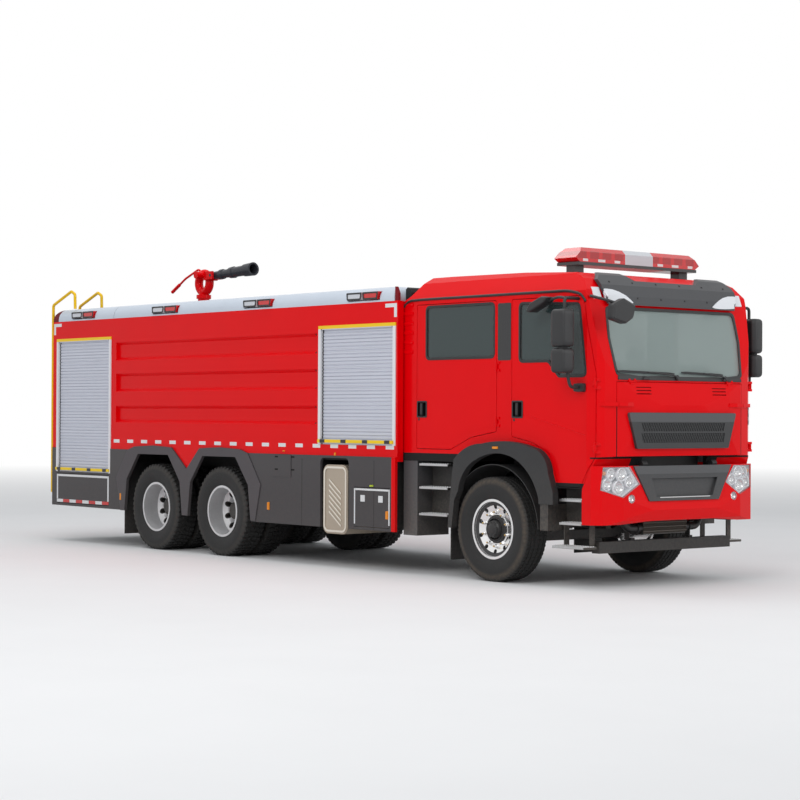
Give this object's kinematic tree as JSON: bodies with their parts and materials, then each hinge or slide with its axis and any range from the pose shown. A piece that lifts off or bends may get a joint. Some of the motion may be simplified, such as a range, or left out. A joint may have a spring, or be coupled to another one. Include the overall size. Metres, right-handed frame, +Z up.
{
  "type": "fire truck",
  "caption": "Six-wheeled fire truck with a crew cab, water tank body, roller shutter lockers and a roof water monitor.",
  "frame": {"origin": "on the ground under the middle of the overall length and width", "axes": "+X forward, +Y to the left, +Z up"},
  "size_m": [10.217, 2.88, 3.5537],
  "materials": {
    "red_paint": "gloss red vehicle paint",
    "skirt_grey": "satin dark grey paint",
    "roof_grey": "satin pale blue-grey paint",
    "chassis_paint": "matt black chassis paint",
    "cast_metal": "painted castings",
    "spring_steel": "black painted spring leaves",
    "black_plastic": "grained black plastic",
    "tyre": "black tyre rubber",
    "front_rim": "polished rim",
    "rear_rim": "silver painted rim",
    "glass": "tinted clear glass",
    "slats": "anodised slats",
    "lamp_glass": "clear, red and amber lenses",
    "beacon": "red lens",
    "trim": "dark seat cloth and dashboard",
    "yellow_tube": "yellow paint",
    "stainless": "ribbed stainless sheet",
    "tank_metal": "plain tank metal",
    "monitor_grey": "dark grey barrel"
  },
  "bodies": {
    "truck": {"chassis_frame": "chassis_paint", "engine_block": "cast_metal", "front_axle": "cast_metal", "leaf_springs": "spring_steel", "rear_axles": "cast_metal", "cab_shell": "red_paint", "windscreen": "glass", "sun_visor": "black_plastic", "light_bar": "beacon", "bumper": "red_paint", "bumper_insert": "black_plastic", "underrun_bars": "chassis_paint", "cab_steps": "black_plastic", "cab_mirror": "black_plastic", "cab_interior": "trim", "body_shell": "red_paint", "subframe": "chassis_paint", "skirts": "skirt_grey", "roller_shutters": "slats", "roof_coving": "roof_grey", "lamps": "lamp_glass", "ladder": "yellow_tube", "silencer": "stainless", "fuel_tank": "tank_metal", "monitor_base": "red_paint", "deck_fittings": "roof_grey", "wheel_guards": "black_plastic"},
    "knuckle_right": {"knuckle_right": "cast_metal"},
    "front_wheel_right": {"front_tyre_right": "tyre", "front_rim_right": "front_rim"},
    "rear_wheels_1_right": {"rear_tyres_1_right": "tyre", "rear_rims_1_right": "rear_rim"},
    "rear_wheels_2_right": {"rear_tyres_2_right": "tyre", "rear_rims_2_right": "rear_rim"},
    "front_door_right": {"front_door_right": "red_paint", "front_glass_right": "glass", "mirror_right": "black_plastic"},
    "rear_door_right": {"rear_door_right": "red_paint", "rear_glass_right": "glass"},
    "rear_hatch_right": {"rear_hatch_right": "skirt_grey"},
    "front_hatch_right": {"front_hatch_right": "skirt_grey"},
    "knuckle_left": {"knuckle_left": "cast_metal"},
    "front_wheel_left": {"front_tyre_left": "tyre", "front_rim_left": "front_rim"},
    "rear_wheels_1_left": {"rear_tyres_1_left": "tyre", "rear_rims_1_left": "rear_rim"},
    "rear_wheels_2_left": {"rear_tyres_2_left": "tyre", "rear_rims_2_left": "rear_rim"},
    "front_door_left": {"front_door_left": "red_paint", "front_glass_left": "glass", "mirror_left": "black_plastic"},
    "rear_door_left": {"rear_door_left": "red_paint", "rear_glass_left": "glass"},
    "rear_hatch_left": {"rear_hatch_left": "skirt_grey"},
    "front_hatch_left": {"front_hatch_left": "skirt_grey"},
    "track_rod": {"track_rod": "cast_metal"},
    "front_lid": {"front_lid": "red_paint", "grille": "black_plastic"},
    "monitor_body": {"monitor_body": "red_paint"},
    "monitor_barrel": {"monitor_barrel": "monitor_grey"}
  },
  "joints": [
    {"name": "steer_left", "type": "hinge", "parent": "truck", "child": "knuckle_left", "pos_m": [3.4535, 0.85, 0.522], "axis": [0, 0, 1], "range_deg": [-35, 35]},
    {"name": "roll_front_left", "type": "hinge", "parent": "knuckle_left", "child": "front_wheel_left", "pos_m": [3.4535, 1.02, 0.522], "axis": [0, 1, 0], "continuous": true},
    {"name": "roll_rear_1_left", "type": "hinge", "parent": "truck", "child": "rear_wheels_1_left", "pos_m": [-1.1465, 0.908, 0.522], "axis": [0, 1, 0], "continuous": true},
    {"name": "roll_rear_2_left", "type": "hinge", "parent": "truck", "child": "rear_wheels_2_left", "pos_m": [-2.5465, 0.908, 0.522], "axis": [0, 1, 0], "continuous": true},
    {"name": "open_front_door_left", "type": "hinge", "parent": "truck", "child": "front_door_left", "pos_m": [4.8435, 1.12, 1.9], "axis": [0, 0, -1], "range_deg": [0, 65]},
    {"name": "open_rear_door_left", "type": "hinge", "parent": "truck", "child": "rear_door_left", "pos_m": [3.5035, 1.151, 1.9], "axis": [0, 0, -1], "range_deg": [0, 68]},
    {"name": "open_rear_hatch_left", "type": "hinge", "parent": "truck", "child": "rear_hatch_left", "pos_m": [-4.2015, 1.243, 0.503], "axis": [-1, 0, 0], "range_deg": [0, 88]},
    {"name": "open_front_hatch_left", "type": "hinge", "parent": "truck", "child": "front_hatch_left", "pos_m": [1.6755, 1.243, 0.473], "axis": [-1, 0, 0], "range_deg": [0, 88]},
    {"name": "steer_right", "type": "hinge", "parent": "truck", "child": "knuckle_right", "pos_m": [3.4535, -0.85, 0.522], "axis": [0, 0, 1], "range_deg": [-35, 35]},
    {"name": "roll_front_right", "type": "hinge", "parent": "knuckle_right", "child": "front_wheel_right", "pos_m": [3.4535, -1.02, 0.522], "axis": [0, 1, 0], "continuous": true},
    {"name": "roll_rear_1_right", "type": "hinge", "parent": "truck", "child": "rear_wheels_1_right", "pos_m": [-1.1465, -0.908, 0.522], "axis": [0, 1, 0], "continuous": true},
    {"name": "roll_rear_2_right", "type": "hinge", "parent": "truck", "child": "rear_wheels_2_right", "pos_m": [-2.5465, -0.908, 0.522], "axis": [0, 1, 0], "continuous": true},
    {"name": "open_front_door_right", "type": "hinge", "parent": "truck", "child": "front_door_right", "pos_m": [4.8435, -1.12, 1.9], "axis": [0, 0, 1], "range_deg": [0, 65]},
    {"name": "open_rear_door_right", "type": "hinge", "parent": "truck", "child": "rear_door_right", "pos_m": [3.5035, -1.151, 1.9], "axis": [0, 0, 1], "range_deg": [0, 68]},
    {"name": "open_rear_hatch_right", "type": "hinge", "parent": "truck", "child": "rear_hatch_right", "pos_m": [-4.2015, -1.243, 0.503], "axis": [1, 0, 0], "range_deg": [0, 88]},
    {"name": "open_front_hatch_right", "type": "hinge", "parent": "truck", "child": "front_hatch_right", "pos_m": [1.6755, -1.243, 0.473], "axis": [1, 0, 0], "range_deg": [0, 88]},
    {"name": "turn_track_rod", "type": "hinge", "parent": "knuckle_left", "child": "track_rod", "pos_m": [3.2635, 0.85, 0.4], "axis": [0, 0, 1], "range_deg": [-35, 35]},
    {"name": "lift_front_lid", "type": "hinge", "parent": "truck", "child": "front_lid", "pos_m": [4.9275, 0, 1.986], "axis": [0, -1, 0], "range_deg": [0, 75]},
    {"name": "swivel_monitor", "type": "hinge", "parent": "truck", "child": "monitor_body", "pos_m": [-3.3065, 0, 3.14], "axis": [0, 0, 1], "range_deg": [-170, 170]},
    {"name": "lift_barrel", "type": "hinge", "parent": "monitor_body", "child": "monitor_barrel", "pos_m": [-3.0465, 0, 3.43], "axis": [0, -1, 0], "range_deg": [-12, 75]}
  ],
  "couplings": [
    {"joint": "steer_right", "follows": "steer_left", "ratio": 1},
    {"joint": "turn_track_rod", "follows": "steer_left", "ratio": -1}
  ]
}
